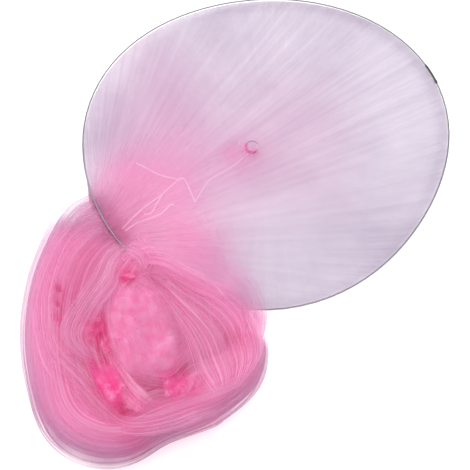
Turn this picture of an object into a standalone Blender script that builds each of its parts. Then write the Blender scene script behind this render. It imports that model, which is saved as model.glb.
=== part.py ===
"""Bed canopy mosquito net, lying down: a wire hoop with a sheer roof panel and a small hanging ring,
and the long tulle skirt, which is gathered under the roof and wound into a coil beside the hoop.

Metres, +Z up. While the pieces are made, the middle of the hoop is at x = 0, y = 0 and the floor is at
z = 0. At the end all of them move together, so that the origin is under the middle of the whole part."""

import math
from collections import namedtuple

import bmesh
import bpy
from mathutils import Vector

# Driving sizes of the hoop
HOOP_RADIUS = 0.3029
WIRE = 0.0012
HOOP_LOW = 0.0034
HOOP_LIFT = 0.030
THROAT_WAY = math.radians(222)
Wave = namedtuple("Wave", "count along across")
HOOP_WAVES = [
    Wave(1, -0.0012, -0.0022),
    Wave(2, -0.0046, 0.0098),
    Wave(3, -0.0004, 0.0070),
]

# Driving sizes of the sleeve on the wire
SLEEVE_START = math.radians(23.4)
SLEEVE_END = math.radians(30.8)
SLEEVE_STEPS = 10
SLEEVE_MARGIN = math.radians(0.3)
SLEEVE_WALL = 0.0004
SLEEVE_GAP = 0.0003
SLEEVE_FLARE = 0.0004

# Driving sizes of the hanging ring and its binding
RING_X = -0.0254
RING_Y = -0.0137
RING_RADIUS = 0.0100
RING_WIRE = 0.0010
RING_TILT = math.radians(15)
RING_RAISE = 0.0060
BINDING_FROM = math.radians(150)
BINDING_TO = math.radians(300)
BINDING_THIN = 0.0018
BINDING_RADIUS = 0.0024
BINDING_GAP = 0.0003
BINDING_LUMPS = 5

# Driving sizes of the roof panel and of the skirt under it
PANEL_SHEET = 0.0012
PANEL_SAG = 0.0090
PANEL_FOLD = 0.0014
Fold = namedtuple("Fold", "count part start")
PANEL_FOLDS = [
    Fold(7, 0.3, 0.6),
    Fold(11, 0.2, 2.0),
]
PANEL_EDGE_GAP = 0.0004
FAN_SHEET = 0.0025
FAN_THINNEST = 0.0018
FAN_SAG = 0.0150
FAN_GAP = 0.0004
FAN_PLEATS = 15
FAN_PLEAT_DEPTH = 0.0016
PANEL_ROOM = 0.0012
WIRE_ROOM = 0.0004
FLOOR_CUT = 2.0

# The wound skirt: the middle line of each coil, with its half width and half height there
Section = namedtuple("Section", "x y z wide tall")
OUTER_COIL = [
    Section(-0.172, -0.100, 0.008, 0.048, 0.011),
    Section(-0.218, -0.130, 0.013, 0.068, 0.016),
    Section(-0.272, -0.166, 0.020, 0.070, 0.024),
    Section(-0.299, -0.226, 0.036, 0.061, 0.043),
    Section(-0.310, -0.290, 0.046, 0.058, 0.052),
    Section(-0.313, -0.360, 0.048, 0.059, 0.055),
    Section(-0.304, -0.432, 0.048, 0.060, 0.056),
    Section(-0.278, -0.497, 0.046, 0.061, 0.053),
    Section(-0.226, -0.516, 0.044, 0.056, 0.050),
    Section(-0.168, -0.496, 0.046, 0.054, 0.053),
    Section(-0.108, -0.466, 0.050, 0.060, 0.056),
    Section(-0.054, -0.426, 0.054, 0.064, 0.058),
    Section(-0.030, -0.372, 0.058, 0.061, 0.058),
]
INNER_COIL = [
    Section(-0.040, -0.398, 0.056, 0.058, 0.052),
    Section(-0.042, -0.347, 0.063, 0.060, 0.054),
    Section(-0.066, -0.296, 0.069, 0.055, 0.048),
    Section(-0.108, -0.264, 0.073, 0.047, 0.041),
    Section(-0.154, -0.250, 0.077, 0.043, 0.040),
    Section(-0.196, -0.266, 0.082, 0.042, 0.041),
    Section(-0.220, -0.312, 0.086, 0.040, 0.042),
    Section(-0.225, -0.368, 0.087, 0.039, 0.043),
    Section(-0.207, -0.424, 0.084, 0.039, 0.042),
    Section(-0.166, -0.446, 0.080, 0.038, 0.041),
    Section(-0.126, -0.414, 0.078, 0.038, 0.040),
    Section(-0.118, -0.358, 0.074, 0.034, 0.036),
]
CENTRE_PUFF = [
    Section(-0.150, -0.432, 0.074, 0.030, 0.030),
    Section(-0.164, -0.404, 0.088, 0.040, 0.040),
    Section(-0.172, -0.366, 0.093, 0.042, 0.042),
    Section(-0.176, -0.326, 0.088, 0.040, 0.040),
    Section(-0.174, -0.292, 0.074, 0.030, 0.030),
]
BED = [
    Section(-0.262, -0.290, 0.030, 0.050, 0.032),
    Section(-0.222, -0.330, 0.034, 0.105, 0.038),
    Section(-0.176, -0.372, 0.034, 0.128, 0.040),
    Section(-0.132, -0.414, 0.034, 0.110, 0.040),
    Section(-0.100, -0.445, 0.030, 0.060, 0.034),
]
COIL_STEP = 0.022
COIL_SIDES = 28
COIL_END = 0.35
COIL_END_RISE = 4.0
FLUTES = 7
FLUTE_DEPTH = 0.17
FLUTE_MEAN = 0.7
FLUTE_TURN = 5.0
SWELL = 0.035
SWELL_TURN = 17.0

# How finely the round pieces are divided
HOOP_STEPS = 84
PANEL_SPOKES = 60
PANEL_RINGS = 6
FAN_SPOKES = 72
FAN_RINGS = 7
DISC_MIDDLE = 0.04
RING_STEPS = 24
WIRE_SIDES = 8


def hoop_radius(way):
    """Distance from the middle to the wire: the sprung hoop is a few millimetres out of round."""
    radius = HOOP_RADIUS
    for wave in HOOP_WAVES:
        radius += wave.along * math.cos(wave.count * way)
        radius += wave.across * math.sin(wave.count * way)
    return radius


def hoop_plane(x, y):
    """Height of the hoop's plane, which the gathered skirt lifts on the throat's side."""
    toward_throat = (x * math.cos(THROAT_WAY) + y * math.sin(THROAT_WAY)) / HOOP_RADIUS
    return HOOP_LOW + HOOP_LIFT * (0.5 + 0.5 * toward_throat)


def hoop_point(way):
    radius = hoop_radius(way)
    x = radius * math.cos(way)
    y = radius * math.sin(way)
    return Vector((x, y, hoop_plane(x, y)))


def hoop_points():
    return [hoop_point(2 * math.pi * step / HOOP_STEPS) for step in range(HOOP_STEPS)]


def share_of_rim(x, y):
    return math.hypot(x, y) / hoop_radius(math.atan2(y, x))


def panel_middle(x, y):
    """Height of the roof panel's middle surface: it sags from the wire and has soft radial folds."""
    share = share_of_rim(x, y)
    way = math.atan2(y - RING_Y, x - RING_X)
    folds = 0.5
    for fold in PANEL_FOLDS:
        folds += fold.part * math.sin(fold.count * way + fold.start)
    fold_height = PANEL_FOLD * folds * share * (1 - share ** 4)
    return hoop_plane(x, y) - PANEL_SAG * (1 - share ** 2) + fold_height


def fan_top(x, y):
    """Height of the skirt's upper face under the roof: pleats run from the rim to the throat."""
    share = min(1.0, share_of_rim(x, y))
    throat = hoop_point(THROAT_WAY)
    pleat_way = math.atan2(y - throat.y, x - throat.x)
    pleat = FAN_PLEAT_DEPTH * 0.5 * (1 - math.cos(2 * FAN_PLEATS * pleat_way))
    hang = FAN_SAG * (1 - share ** 2)
    height = hoop_plane(x, y) - WIRE - FAN_GAP - hang - pleat
    return max(FAN_THINNEST, height)


def material(name, colour, roughness, metallic=0.0):
    made = bpy.data.materials.new(name)
    made.use_nodes = True
    shader = made.node_tree.nodes["Principled BSDF"]
    shader.inputs["Base Color"].default_value = (*colour, 1.0)
    shader.inputs["Roughness"].default_value = roughness
    shader.inputs["Metallic"].default_value = metallic
    made.diffuse_color = (*colour, 1.0)
    return made


def add_object(name, mesh, collection, finish=None):
    made = bpy.data.objects.new(name, mesh)
    collection.objects.link(made)
    if finish is not None:
        mesh.materials.append(finish)
    return made


def loft(name, loops, around=False):
    """A skin through loops of points. Its ends are capped, or joined where it goes all around."""
    shape = bmesh.new()
    rows = [[shape.verts.new(point) for point in loop] for loop in loops]
    sides = len(rows[0])
    pairs = list(zip(rows, rows[1:]))
    if around:
        pairs.append((rows[-1], rows[0]))
    for lower, upper in pairs:
        for side in range(sides):
            after = (side + 1) % sides
            shape.faces.new((lower[side], lower[after], upper[after], upper[side]))
    if not around:
        shape.faces.new(list(reversed(rows[0])))
        shape.faces.new(rows[-1])
    bmesh.ops.recalc_face_normals(shape, faces=shape.faces)
    bmesh.ops.triangulate(shape, faces=[face for face in shape.faces if len(face.verts) > 4])
    mesh = bpy.data.meshes.new(name)
    shape.to_mesh(mesh)
    shape.free()
    return mesh


def smooth_between(rows, share):
    """The row at this share of the way through a table, on a smooth curve through its rows."""
    last = len(rows) - 1
    place = min(share * last, last - 1e-6)
    first = int(place)
    t = place - first
    a = rows[max(first - 1, 0)]
    b = rows[first]
    c = rows[first + 1]
    d = rows[min(first + 2, last)]
    values = []
    for before, start, end, after in zip(a, b, c, d):
        bend = 2 * before - 5 * start + 4 * end - after
        twist = 3 * (start - end) + after - before
        values.append(0.5 * (2 * start + (end - before) * t + bend * t * t + twist * t ** 3))
    return Section(*values)


def coil_mesh(name, rows, turn_start):
    """One length of wound cloth: oval sections with sharp-bottomed flutes that twist along it."""
    length = sum(math.dist(a[:3], b[:3]) for a, b in zip(rows, rows[1:]))
    steps = max(6, round(length / COIL_STEP))
    loops = []
    for step in range(steps + 1):
        share = step / steps
        here = smooth_between(rows, share)
        ahead = smooth_between(rows, min(1.0, share + 0.01))
        behind = smooth_between(rows, max(0.0, share - 0.01))
        along = Vector((ahead.x - behind.x, ahead.y - behind.y, 0)).normalized()
        across = Vector((-along.y, along.x, 0))
        end_round = min(1.0, COIL_END + COIL_END_RISE * min(share, 1 - share))
        swell = end_round * (1 + SWELL * math.sin(SWELL_TURN * share + turn_start))
        turn = FLUTE_TURN * share + turn_start
        loop = []
        for side in range(COIL_SIDES):
            angle = 2 * math.pi * side / COIL_SIDES
            crest = abs(math.cos(FLUTES * angle / 2 - turn))
            reach = swell * (1 + FLUTE_DEPTH * (crest - FLUTE_MEAN))
            wide = here.wide * reach * math.cos(angle)
            tall = here.tall * reach * math.sin(angle)
            loop.append(Vector((here.x, here.y, here.z + tall)) + across * wide)
        loops.append(loop)
    return loft(name, loops)


def disc_mesh(name, top, bottom, reach, rings, spokes):
    """A round sheet between two surfaces, out to the wire less a gap."""
    loops = []
    shares = [DISC_MIDDLE + (1 - DISC_MIDDLE) * ring / rings for ring in range(rings + 1)]
    for surface, order in ((top, shares), (bottom, list(reversed(shares)))):
        for share in order:
            loop = []
            for spoke in range(spokes):
                way = 2 * math.pi * spoke / spokes
                radius = share * (hoop_radius(way) + reach)
                x = radius * math.cos(way)
                y = radius * math.sin(way)
                loop.append((x, y, surface(x, y)))
            loops.append(loop)
    return loft(name, loops)


def wire_curve(name, points, thickness, closed):
    """A round wire along points, as a curve with a bevel."""
    curve = bpy.data.curves.new(name, "CURVE")
    curve.dimensions = "3D"
    curve.bevel_depth = thickness
    curve.bevel_resolution = 2
    curve.use_fill_caps = not closed
    line = curve.splines.new("POLY")
    line.points.add(len(points) - 1)
    for place, point in zip(line.points, points):
        place.co = (*point, 1)
    line.use_cyclic_u = closed
    return curve


def mesh_of(thing):
    """The mesh of an object, as its modifiers leave it."""
    evaluated = thing.evaluated_get(bpy.context.evaluated_depsgraph_get())
    return bpy.data.meshes.new_from_object(evaluated)


def weld_caps(mesh):
    """Joins a curve's loose caps to its sides."""
    shape = bmesh.new()
    shape.from_mesh(mesh)
    bmesh.ops.remove_doubles(shape, verts=shape.verts, dist=0.00001)
    shape.to_mesh(mesh)
    shape.free()


def apply_boolean(thing, tool, operation):
    """Joins or cuts at once, so that the next step starts from one mesh.

    The coils cross themselves at tight bends, so the solver looks for that too."""
    step = thing.modifiers.new(tool.name, "BOOLEAN")
    step.operation = operation
    step.object = tool
    step.solver = "EXACT"
    step.use_self = True
    bpy.context.view_layer.update()
    joined = mesh_of(thing)
    thing.modifiers.remove(step)
    old = thing.data
    thing.data = joined
    bpy.data.meshes.remove(old)


def keep_outer_skin(thing):
    """Drops the closed skins of hollows sealed between the coils, so the cloth is solid there."""
    shape = bmesh.new()
    shape.from_mesh(thing.data)
    left = set(shape.faces)
    islands = []
    while left:
        found = {left.pop()}
        frontier = list(found)
        while frontier:
            face = frontier.pop()
            for edge in face.edges:
                for near in edge.link_faces if len(edge.link_faces) == 2 else ():
                    if near in left:
                        left.remove(near)
                        found.add(near)
                        frontier.append(near)
        islands.append(found)
    islands.sort(key=len)
    print(thing.name, "skins", [len(island) for island in islands])
    for island in islands[:-1]:
        bmesh.ops.delete(shape, geom=list(island), context="FACES")
    shape.to_mesh(thing.data)
    shape.free()


def make_hoop(parts):
    finish = material("steel_wire", (0.42, 0.41, 0.43), 0.35, 0.9)
    return add_object("hoop", wire_curve("hoop", hoop_points(), WIRE, True), parts, finish)


def ring_round(middle, along, radius, sides):
    """A loop of points around a line that runs along one direction."""
    across = Vector((0, 0, 1)).cross(along).normalized()
    upward = along.cross(across)
    angles = [2 * math.pi * side / sides for side in range(sides)]
    return [middle + radius * (across * math.cos(a) + upward * math.sin(a)) for a in angles]


def make_sleeve(parts):
    """A short tube around the wire, flared at its lower end."""
    outside = []
    inside = []
    for step in range(SLEEVE_STEPS + 1):
        share = step / SLEEVE_STEPS
        way = SLEEVE_START + (SLEEVE_END - SLEEVE_START) * share
        middle = hoop_point(way)
        along = (hoop_point(way + 0.01) - hoop_point(way - 0.01)).normalized()
        flare = SLEEVE_FLARE if step <= 1 else 0.0
        bore = WIRE + SLEEVE_GAP + flare
        outside.append(ring_round(middle, along, bore + SLEEVE_WALL, WIRE_SIDES + 2))
        inside.append(ring_round(middle, along, bore, WIRE_SIDES + 2))
    finish = material("dark_sleeve", (0.06, 0.055, 0.065), 0.5)
    mesh = loft("hoop_sleeve", outside + list(reversed(inside)), around=True)
    return add_object("hoop_sleeve", mesh, parts, finish)


def ring_frame():
    """The ring's middle and the two directions of its plane, its far side tipped up."""
    middle = Vector((RING_X, RING_Y, panel_middle(RING_X, RING_Y) + PANEL_SHEET / 2 + RING_RAISE))
    side = Vector((1, 0, 0))
    back = Vector((0, math.cos(RING_TILT), math.sin(RING_TILT)))
    return middle, side, back


def make_ring(parts):
    middle, side, back = ring_frame()
    points = []
    for step in range(RING_STEPS):
        way = 2 * math.pi * step / RING_STEPS
        points.append(middle + RING_RADIUS * (side * math.cos(way) + back * math.sin(way)))
    finish = material("ring_metal", (0.50, 0.46, 0.50), 0.3, 0.9)
    return add_object("hanging_ring", wire_curve("hanging_ring", points, RING_WIRE, True), parts, finish)


def make_binding(parts, net):
    """A gathered tube of net around the ring's lower left, lumpy where it is stitched."""
    middle, side, back = ring_frame()
    steps = BINDING_LUMPS * 4
    outside = []
    inside = []
    for step in range(steps + 1):
        share = step / steps
        way = BINDING_FROM + (BINDING_TO - BINDING_FROM) * share
        out = side * math.cos(way) + back * math.sin(way)
        along = (back * math.cos(way) - side * math.sin(way)).normalized()
        lump = 0.5 - 0.5 * math.cos(2 * math.pi * BINDING_LUMPS * share)
        bore = RING_WIRE + BINDING_GAP
        reach = BINDING_THIN + (BINDING_RADIUS - BINDING_THIN) * lump
        spot = middle + RING_RADIUS * out
        outside.append(ring_round(spot, along, reach, WIRE_SIDES))
        inside.append(ring_round(spot, along, bore, WIRE_SIDES))
    mesh = loft("ring_binding", outside + list(reversed(inside)), around=True)
    return add_object("ring_binding", mesh, parts, net)


def room_around_wire(name, tools, points, thickness, closed):
    """A cutter with the form of a thicker wire, as a closed mesh."""
    line = add_object("line", wire_curve("line", points, thickness, closed), tools)
    bpy.context.view_layer.update()
    room = add_object(name, mesh_of(line), tools)
    weld_caps(room.data)
    bpy.data.objects.remove(line)
    return room


def room_for_sleeve(tools):
    start = SLEEVE_START - SLEEVE_MARGIN
    step_way = (SLEEVE_END + SLEEVE_MARGIN - start) / SLEEVE_STEPS
    points = [hoop_point(start + step_way * step) for step in range(SLEEVE_STEPS + 1)]
    thickness = WIRE + SLEEVE_GAP + SLEEVE_WALL + SLEEVE_FLARE + WIRE_ROOM
    return room_around_wire("room_for_sleeve", tools, points, thickness, False)


def make_panel(parts, tools, net):
    half = PANEL_SHEET / 2
    mesh = disc_mesh(
        "top_panel",
        lambda x, y: panel_middle(x, y) + half,
        lambda x, y: panel_middle(x, y) - half,
        -WIRE - PANEL_EDGE_GAP,
        PANEL_RINGS,
        PANEL_SPOKES,
    )
    panel = add_object("top_panel", mesh, parts, net)
    apply_boolean(panel, room_for_sleeve(tools), "DIFFERENCE")
    return panel


def make_skirt(parts, tools, net):
    """The skirt under the roof, joined to its wound coils, with room for the roof and the wire."""
    fan = disc_mesh(
        "skirt",
        fan_top,
        lambda x, y: fan_top(x, y) - FAN_SHEET,
        0.0,
        FAN_RINGS,
        FAN_SPOKES,
    )
    skirt = add_object("skirt", fan, parts, net)
    coils = (
        ("bed", BED),
        ("outer_coil", OUTER_COIL),
        ("inner_coil", INNER_COIL),
        ("centre_puff", CENTRE_PUFF),
    )
    for number, (name, rows) in enumerate(coils):
        coil = add_object(name, coil_mesh(name, rows, 1.7 * number), tools)
        apply_boolean(skirt, coil, "UNION")
    half = PANEL_SHEET / 2
    room = disc_mesh(
        "room_for_panel",
        lambda x, y: panel_middle(x, y) + half + PANEL_ROOM,
        lambda x, y: panel_middle(x, y) - half - FAN_GAP,
        0.0,
        PANEL_RINGS,
        PANEL_SPOKES,
    )
    apply_boolean(skirt, add_object("room_for_panel", room, tools), "DIFFERENCE")
    apply_boolean(
        skirt,
        room_around_wire("room_for_wire", tools, hoop_points(), WIRE + WIRE_ROOM, True),
        "DIFFERENCE",
    )
    apply_boolean(skirt, room_for_sleeve(tools), "DIFFERENCE")
    shape = bmesh.new()
    bmesh.ops.create_cube(shape, size=FLOOR_CUT)
    bmesh.ops.translate(shape, verts=shape.verts, vec=(0, 0, -FLOOR_CUT / 2))
    below = bpy.data.meshes.new("below_floor")
    shape.to_mesh(below)
    shape.free()
    apply_boolean(skirt, add_object("below_floor", below, tools), "DIFFERENCE")
    keep_outer_skin(skirt)
    return skirt


def centre_on_floor(parts):
    """Moves all pieces so that the origin is under the middle of the whole part."""
    bpy.context.view_layer.update()
    corners = []
    for piece in parts.objects:
        mesh = mesh_of(piece)
        corners += [piece.matrix_world @ corner.co for corner in mesh.vertices]
        bpy.data.meshes.remove(mesh)
    low = Vector([min(corner[axis] for corner in corners) for axis in range(3)])
    high = Vector([max(corner[axis] for corner in corners) for axis in range(3)])
    shift = Vector((-(low.x + high.x) / 2, -(low.y + high.y) / 2, -low.z))
    for piece in parts.objects:
        piece.location = piece.location + shift
    print("size", [round(1000 * (b - a), 1) for a, b in zip(low, high)], "shift", shift)


def main():
    for old in list(bpy.data.objects):
        bpy.data.objects.remove(old)
    parts = bpy.data.collections.new("bed_canopy_net")
    tools = bpy.data.collections.new("cutters")
    bpy.context.scene.collection.children.link(parts)
    bpy.context.scene.collection.children.link(tools)
    pink = material("pink_tulle", (0.86, 0.29, 0.52), 0.85)
    sheer = material("sheer_tulle", (0.80, 0.62, 0.76), 0.85)
    make_hoop(parts)
    make_sleeve(parts)
    make_ring(parts)
    make_binding(parts, pink)
    make_panel(parts, tools, sheer)
    skirt = make_skirt(parts, tools, pink)
    for tool in tools.objects:
        tool.hide_render = True
        tool.display_type = "WIRE"
    for piece in parts.objects:
        if piece.type == "MESH":
            piece.data.shade_smooth()
            piece.data.set_sharp_from_angle(angle=math.radians(50))
    centre_on_floor(parts)
    print("skirt triangles", sum(len(face.vertices) - 2 for face in skirt.data.polygons))


main()
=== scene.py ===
# %% [markdown]
# # A bed canopy mosquito net, laid down
#
# The real thing is a round steel hoop with a sheer tulle roof, a small ring to hang it from, and
# metres of tulle skirt. Here it lies on a pale floor: the skirt is drawn together under the roof,
# comes out at the lower left and is wound into a nest. The solids of the hoop, the ring and the
# sleeve are already made, as a fixed frame. This lesson gives them their finish, and makes the cloth.

# %% Load the fixed frame
import math

import bpy
import numpy as np
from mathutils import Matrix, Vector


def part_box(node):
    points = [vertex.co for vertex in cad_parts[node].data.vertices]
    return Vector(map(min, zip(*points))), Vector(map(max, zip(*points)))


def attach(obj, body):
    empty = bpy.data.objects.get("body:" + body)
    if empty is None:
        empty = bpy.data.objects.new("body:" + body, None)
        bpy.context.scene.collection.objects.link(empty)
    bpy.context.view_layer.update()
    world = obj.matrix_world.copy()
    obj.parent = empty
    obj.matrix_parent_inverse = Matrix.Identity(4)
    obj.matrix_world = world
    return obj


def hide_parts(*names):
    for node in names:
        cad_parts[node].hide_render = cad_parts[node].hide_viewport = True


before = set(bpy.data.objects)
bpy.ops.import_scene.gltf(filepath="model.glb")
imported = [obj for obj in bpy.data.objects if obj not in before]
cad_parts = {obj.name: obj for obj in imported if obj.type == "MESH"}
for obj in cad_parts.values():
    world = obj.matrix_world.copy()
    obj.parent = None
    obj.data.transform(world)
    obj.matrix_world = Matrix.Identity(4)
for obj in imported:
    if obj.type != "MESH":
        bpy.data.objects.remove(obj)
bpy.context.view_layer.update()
print("nodes", sorted(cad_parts))

# %% [markdown]
# ## The hoop's own measures
#
# Every cloth hangs on the hoop, so its line comes first. A sprung wire is never quite round, and
# three slow waves around the circle say how far it is out. Its plane tips up a little toward the
# throat, because the gathered cloth lies under the wire there. All lengths are metres, measured
# from the middle of the hoop, and one shift then brings them to the frame.

# %% The hoop's line
HOOP_RADIUS = 0.3029
HOOP_WAVES = [(1, -0.0012, -0.0022), (2, -0.0046, 0.0098), (3, -0.0004, 0.0070)]
HOOP_LOW = 0.0034
HOOP_LIFT = 0.030
WIRE = 0.0012
THROAT_WAY = math.radians(222)


def hoop_radius(way):
    """How far the wire's middle is from the hoop's, at this angle."""
    radius = HOOP_RADIUS + 0 * way
    for count, along, across in HOOP_WAVES:
        radius = radius + along * np.cos(count * way) + across * np.sin(count * way)
    return radius


def hoop_plane(x, y):
    """The height of the tilted hoop over this place."""
    toward = (x * math.cos(THROAT_WAY) + y * math.sin(THROAT_WAY)) / HOOP_RADIUS
    return HOOP_LOW + HOOP_LIFT * (0.5 + 0.5 * toward)


def share_of_rim(x, y):
    """0 in the middle of the hoop, 1 on its wire, and more outside."""
    return np.hypot(x, y) / hoop_radius(np.arctan2(y, x))


def hoop_line(ways):
    radius = hoop_radius(ways)
    x, y = radius * np.cos(ways), radius * np.sin(ways)
    return np.stack([x, y, hoop_plane(x, y)], -1)


round_hoop = hoop_line(np.linspace(0, 2 * math.pi, 721))
hoop_low, hoop_high = (np.array(corner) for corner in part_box("hoop"))
SHIFT = (hoop_low + hoop_high) / 2 - (round_hoop.min(0) + round_hoop.max(0)) / 2
SHIFT[2] = 0
print("the hoop's middle in the frame, mm", (1000 * SHIFT).round(1))

# %% [markdown]
# ## The camera
#
# The wire's outline is a circle seen from about 60 degrees above, with a long lens. A lens that
# long hardly narrows what is further away, which keeps the hoop's far side as wide as it looks. A
# constraint could aim the camera too, but with plain angles a later cell can work its view backwards.

# %% Camera
EYE = np.array([-0.0531, -1.3418, 2.0304]) + SHIFT
LENS = 113.36
SENSOR = 36
LEAN = 60.0

camera_data = bpy.data.cameras.new("camera")
camera_data.lens = LENS
camera_data.sensor_width = SENSOR
camera = bpy.data.objects.new("camera", camera_data)
camera.location = EYE
camera.rotation_euler = (math.radians(90 - LEAN), 0, 0)
scene = bpy.context.scene
scene.collection.objects.link(camera)
bpy.context.scene.camera = camera
print("camera at, m", EYE.round(3), "lens, mm", LENS)

# %% [markdown]
# ## Floor and light
#
# The net is so thin that any strong lamp would draw hard lines through it. A bright, even sky and
# two large soft panels keep the light as flat as in a light tent, with a little more from the left.
# The floor glows faintly, so that it stays white under the net. A ray may cross dozens of layers,
# so the renderer is allowed many steps through clear places.

# %% The floor
FLOOR_GLOW = 0.30
FLOOR_HALF = 6.0
FLOOR_DROP = 0.0006


def fill(node, values):
    """Sets some of a node's inputs by their names."""
    for name, value in values.items():
        node.inputs[name].default_value = value


mesh = bpy.data.meshes.new("floor")
half = FLOOR_HALF
corners = [(-half, -half, 0), (half, -half, 0), (half, half, 0), (-half, half, 0)]
mesh.from_pydata(corners, [], [(0, 1, 2, 3)])
floor = bpy.data.objects.new("floor", mesh)
floor.location.z = -FLOOR_DROP
scene.collection.objects.link(floor)
paint = bpy.data.materials.new("floor_paint")
paint.use_nodes = True
shader = paint.node_tree.nodes["Principled BSDF"]
fill(shader, {"Base Color": (0.94, 0.94, 0.94, 1), "Emission Color": (1, 1, 1, 1)})
fill(shader, {"Roughness": 0.9, "Specular IOR Level": 0.1, "Emission Strength": FLOOR_GLOW})
mesh.materials.append(paint)
print("floor", 2 * half, "m wide")

# %% The sky and two soft lamps
SKY_STRENGTH = 1.12


def soft_lamp(name, place, aim, size, power):
    """A round panel of light, turned to face its aim."""
    lamp = bpy.data.lights.new(name, "AREA")
    lamp.shape = "DISK"
    lamp.size = size
    lamp.energy = power
    thing = bpy.data.objects.new(name, lamp)
    thing.location = place
    away = np.array(place) - np.array(aim)
    lean = math.atan2(math.hypot(away[0], away[1]), away[2])
    turn = math.atan2(away[1], away[0]) + math.pi / 2
    thing.rotation_euler = (lean, 0, turn)
    scene.collection.objects.link(thing)
    print(name, "at, m", place, "with", power, "watts")


sky = bpy.data.worlds.new("sky")
sky.use_nodes = True
fill(sky.node_tree.nodes["Background"], {"Color": (1, 1, 1, 1), "Strength": SKY_STRENGTH})
scene.world = sky
soft_lamp("left_panel", (-2.4, 0.6, 2.4), (0, 0, 0), 1.8, 46)
soft_lamp("top_panel_lamp", (0.6, 0.4, 3.2), (0, 0, 0), 2.4, 26)
scene.view_settings.view_transform = "Standard"
scene.cycles.transparent_max_bounces = 40
scene.cycles.max_bounces = 14
scene.cycles.diffuse_bounces = 10

# %% [markdown]
# ## Tulle, as a material
#
# Tulle is a knitted net with holes of about a millimetre. One layer is nearly clear and looks a pale,
# cool lilac: its colour is a dark grey-lilac, painted shade seen through a single layer. Many layers
# glow pink, because the light passes from thread to thread. Each point of the cloth therefore carries
# three numbers: cover, the share of the light that the net stops there, gather, how pink it has
# become, and depth, how deep in a hollow it lies, which paints a deeper pink there as shade.
#
# A picture of tulle could be wrapped on the cloth instead. Patterns worked out from noise stay
# sharp at any distance, and they follow the flat measures of each piece, as real threads do.

# %% Small helpers for material nodes
def link(tree, start, end):
    tree.links.new(start, end)


def maths(tree, operation, first, second=None, clamp=False):
    node = tree.nodes.new("ShaderNodeMath")
    node.operation = operation
    node.use_clamp = clamp
    for socket, value in zip(node.inputs, (first, second)):
        if value is None:
            continue
        if isinstance(value, (int, float)):
            socket.default_value = value
        else:
            link(tree, value, socket)
    return node.outputs[0]


def times(tree, first, second, clamp=False):
    return maths(tree, "MULTIPLY", first, second, clamp)


def plus(tree, first, second, clamp=False):
    return maths(tree, "ADD", first, second, clamp)


def attribute(tree, name):
    node = tree.nodes.new("ShaderNodeAttribute")
    node.attribute_name = name
    return node.outputs["Fac"]


# %% [markdown]
# ## Patterns of thread, crease and net
#
# Gathering leaves long thin streaks along the cloth: pulled threads, and tiny creases, whose low
# parts are painted a deeper pink, as shade. They are noise, drawn out along the cloth. Single thin
# lines lie where slow noise passes its middle value: pale ones are painted highlights on the crests
# of small folds, deep ones painted shade in small creases. Soft patches are where layers happen to
# lie closer, and two slanting waves make the diamonds of the net.

# %% Patterns on the cloth
NET_PITCH = 0.0016


def streaks(tree, across, along, offset, detail):
    """Noise drawn out along the cloth: across and along say how many waves there are in a metre."""
    place = tree.nodes.new("ShaderNodeUVMap")
    place.uv_map = "cloth"
    scaled = tree.nodes.new("ShaderNodeMapping")
    fill(scaled, {"Scale": (across, along, 1), "Location": (offset, offset, 0)})
    noise = tree.nodes.new("ShaderNodeTexNoise")
    noise.noise_dimensions = "2D"
    fill(noise, {"Scale": 1.0, "Detail": detail, "Roughness": 0.6})
    link(tree, place.outputs[0], scaled.inputs["Vector"])
    link(tree, scaled.outputs[0], noise.inputs["Vector"])
    return noise.outputs["Fac"]


def cloud(tree, scale):
    """Soft patches over a piece: cloth that lies closer or wider, or metal that is more worn."""
    place = tree.nodes.new("ShaderNodeTexCoord")
    noise = tree.nodes.new("ShaderNodeTexNoise")
    fill(noise, {"Scale": scale, "Detail": 3.0})
    link(tree, place.outputs["Object"], noise.inputs["Vector"])
    return noise.outputs["Fac"]


def net_holes(tree):
    """The diamonds of the net: two slanting waves, from -1 in a hole to 1 on a thread."""
    place = tree.nodes.new("ShaderNodeUVMap")
    place.uv_map = "cloth"
    parts = tree.nodes.new("ShaderNodeSeparateXYZ")
    link(tree, place.outputs[0], parts.inputs[0])
    turns = 2 * math.pi / NET_PITCH
    one = times(tree, plus(tree, parts.outputs[0], parts.outputs[1]), turns)
    two = times(tree, maths(tree, "SUBTRACT", parts.outputs[0], parts.outputs[1]), turns)
    return maths(tree, "MAXIMUM", maths(tree, "SINE", one), maths(tree, "SINE", two))


def fine_lines(tree, across, offset, sharp):
    """Thin lines along the cloth: wherever slow, drawn-out noise passes its middle value."""
    noise = streaks(tree, across, 2.0, offset, 0.0)
    away = maths(tree, "ABSOLUTE", maths(tree, "SUBTRACT", noise, 0.5))
    return maths(tree, "SUBTRACT", 1.0, times(tree, away, sharp), clamp=True)


# %% [markdown]
# ## One material for every tulle
#
# The colour runs from a thin layer's lilac, a painted shade, to the pink of many, then to a deeper
# pink in creases, which is painted shade too; pale lines add a painted highlight.
# The cover decides between a clear shader and the cloth, and more than half of the cloth's light
# comes through it. Principled's own transmission would bend light as glass does, and net doesn't.

# %% Mixed colours, raised threads and the lit net
GLOW = 0.6


def blend(tree, first, second, share):
    """Mixes two colours. Each is a fixed colour or the outcome of another blend."""
    mix = tree.nodes.new("ShaderNodeMix")
    mix.data_type = "RGBA"
    for socket, value in (("A", first), ("B", second)):
        if isinstance(value, tuple):
            mix.inputs[socket].default_value = (*value, 1)
        else:
            link(tree, value, mix.inputs[socket])
    link(tree, share, mix.inputs["Factor"])
    return mix.outputs["Result"]


def around_half(tree, value, strength):
    """Noise runs from 0 to 1. This brings its middle to 0 and scales it."""
    return times(tree, maths(tree, "SUBTRACT", value, 0.5), strength)


def raise_surface(tree, height, strength, distance, shader):
    """Lets a pattern of heights tilt the surface's shading."""
    bump = tree.nodes.new("ShaderNodeBump")
    fill(bump, {"Strength": strength, "Distance": distance})
    link(tree, height, bump.inputs["Height"])
    link(tree, bump.outputs[0], shader.inputs["Normal"])


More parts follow.
